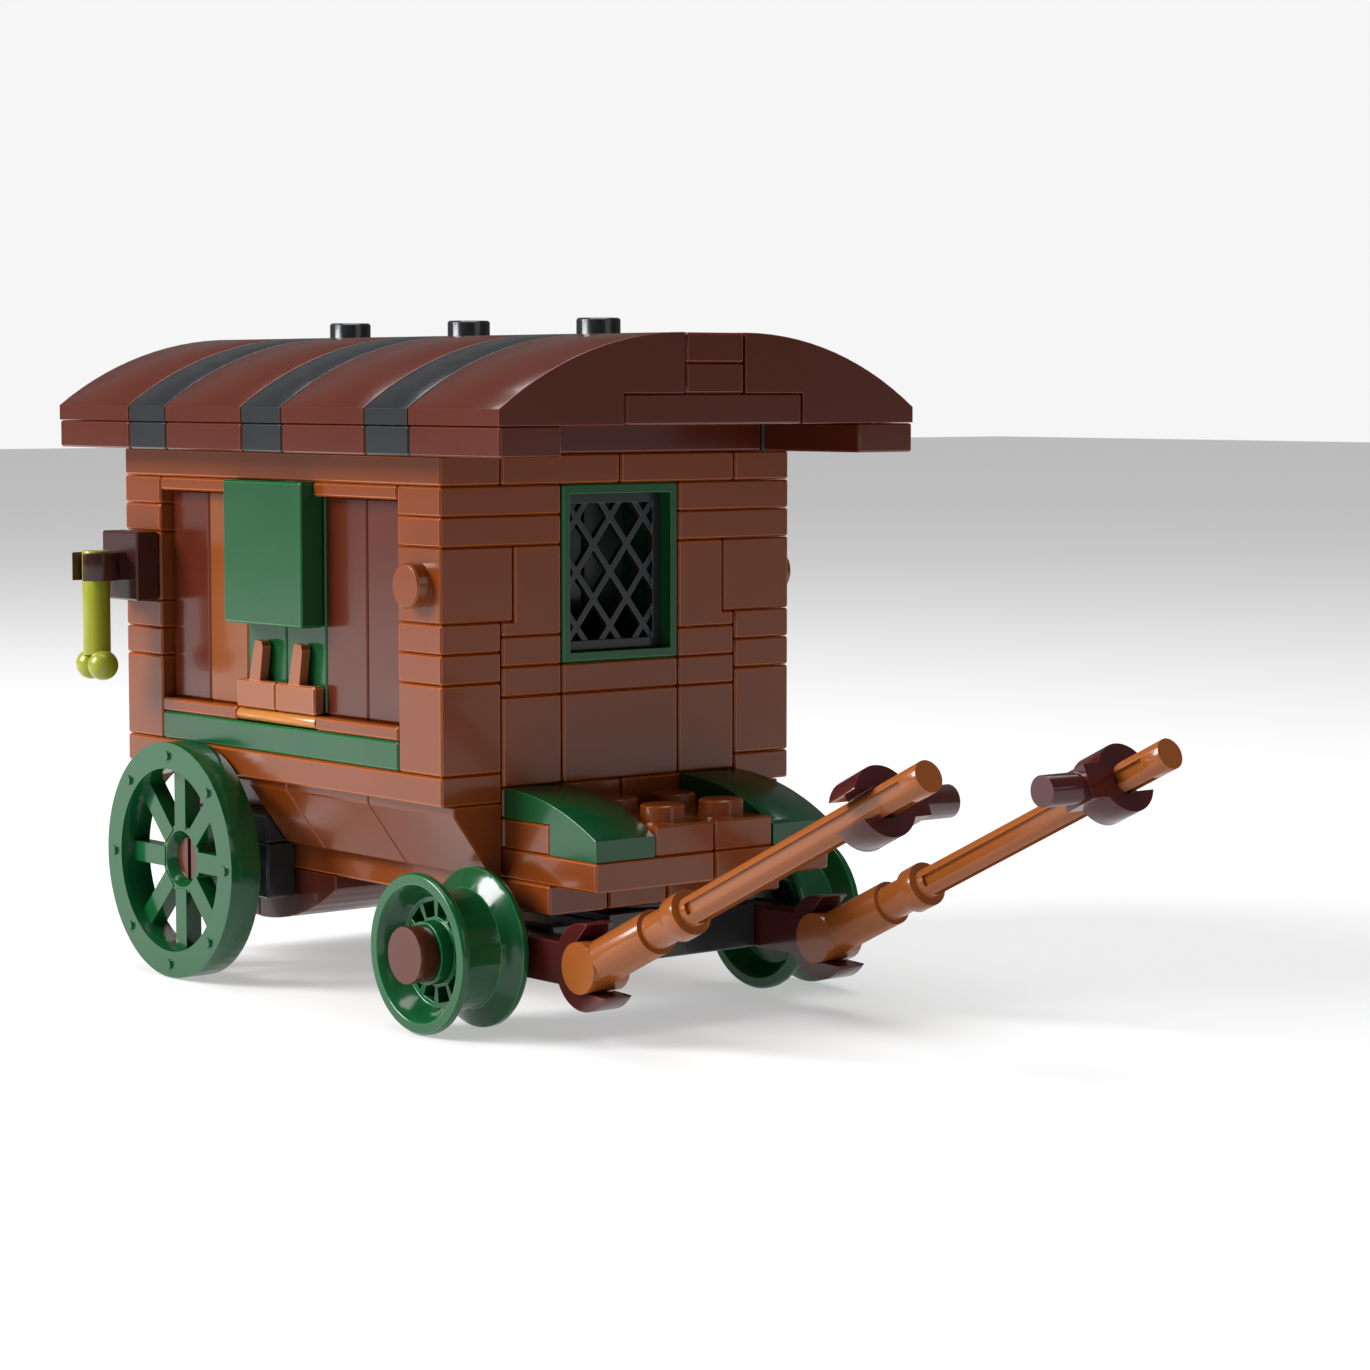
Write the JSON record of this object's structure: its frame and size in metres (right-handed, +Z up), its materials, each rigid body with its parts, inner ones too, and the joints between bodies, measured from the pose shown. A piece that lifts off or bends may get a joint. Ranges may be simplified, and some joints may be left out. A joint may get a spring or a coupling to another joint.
{
  "type": "brick-built toy peddler wagon",
  "caption": "Toy wagon of studded bricks with a curved lift-off roof, spoked wheels, steered front axle and two raised shafts.",
  "frame": {"origin": "on the floor under the middle of the body", "axes": "+X forward to the animal, +Y to the wagon's left, +Z up"},
  "size_m": [0.1384, 0.0614, 0.0749],
  "materials": {
    "brown": "smooth moulded plastic",
    "dark": "smooth moulded plastic",
    "green": "smooth moulded plastic",
    "black": "smooth moulded plastic",
    "claw": "smooth moulded plastic",
    "cap": "smooth moulded plastic",
    "bone": "smooth moulded plastic"
  },
  "bodies": {
    "wagon": {"deck": "brown", "cabin_floor": "brown", "under_plates": "brown", "seat_plates": "brown", "side_plates": "brown", "seat_side_slopes": "green", "base_bands": "brown", "crown_bands": "brown", "front_sill": "brown", "rear_sill": "brown", "front_wall": "brown", "rear_wall": "brown", "front_window": "green", "rear_window": "green", "front_lattice": "black", "rear_lattice": "black", "corner_columns": "brown", "turned_blocks": "brown", "stall_sills": "green", "dark_boards": "dark", "brown_boards": "brown", "green_boards": "green", "stall_rails": "brown", "stall_bars": "cap", "tooth_plates": "green", "hung_tiles": "green", "skirts": "brown", "belly_nose": "brown", "belly_block": "brown", "axle_carriers": "black", "rear_wheel_pins": "cap", "turntable_top": "black", "clip_plate": "dark", "bone": "bone"},
    "roof": {"brown_roof_slopes": "brown", "brown_roof_middle": "brown", "brown_roof_edges": "brown", "black_roof_slopes": "black", "black_roof_middle": "black", "black_roof_edges": "black", "roof_cross_plates": "black"},
    "fore_carriage": {"turntable_base": "black", "axle_beam": "black", "front_axle": "cap", "shaft_claws": "claw"},
    "rear_wheel_right": {"rear_wheel_right": "green"},
    "front_wheel_right": {"front_wheel_right": "green"},
    "shaft_right": {"shaft_right": "brown", "hitch_claw_right": "claw"},
    "rear_wheel_left": {"rear_wheel_left": "green"},
    "front_wheel_left": {"front_wheel_left": "green"},
    "shaft_left": {"shaft_left": "brown", "hitch_claw_left": "claw"}
  },
  "joints": [
    {"name": "roof_lift", "type": "slide", "parent": "wagon", "child": "roof", "axis": [0, 0, 1], "range_m": [0, 0.06]},
    {"name": "steering", "type": "hinge", "parent": "wagon", "child": "fore_carriage", "pos_m": [0.032, 0, 0], "axis": [0, 0, 1], "range_deg": [-8, 8]},
    {"name": "rear_wheel_right_spin", "type": "hinge", "parent": "wagon", "child": "rear_wheel_right", "pos_m": [-0.016, -0.0231, 0.0135], "axis": [0, 1, 0], "continuous": true},
    {"name": "front_wheel_right_spin", "type": "hinge", "parent": "fore_carriage", "child": "front_wheel_right", "pos_m": [0.032, -0.0231, 0.0085], "axis": [0, 1, 0], "continuous": true},
    {"name": "shaft_right_pitch", "type": "hinge", "parent": "fore_carriage", "child": "shaft_right", "pos_m": [0.048, -0.016, 0.0081], "axis": [0, -1, 0], "range_deg": [-28, 20]},
    {"name": "rear_wheel_left_spin", "type": "hinge", "parent": "wagon", "child": "rear_wheel_left", "pos_m": [-0.016, 0.0231, 0.0135], "axis": [0, 1, 0], "continuous": true},
    {"name": "front_wheel_left_spin", "type": "hinge", "parent": "fore_carriage", "child": "front_wheel_left", "pos_m": [0.032, 0.0231, 0.0085], "axis": [0, 1, 0], "continuous": true},
    {"name": "shaft_left_pitch", "type": "hinge", "parent": "fore_carriage", "child": "shaft_left", "pos_m": [0.048, 0.016, 0.0081], "axis": [0, -1, 0], "range_deg": [-28, 20]}
  ]
}
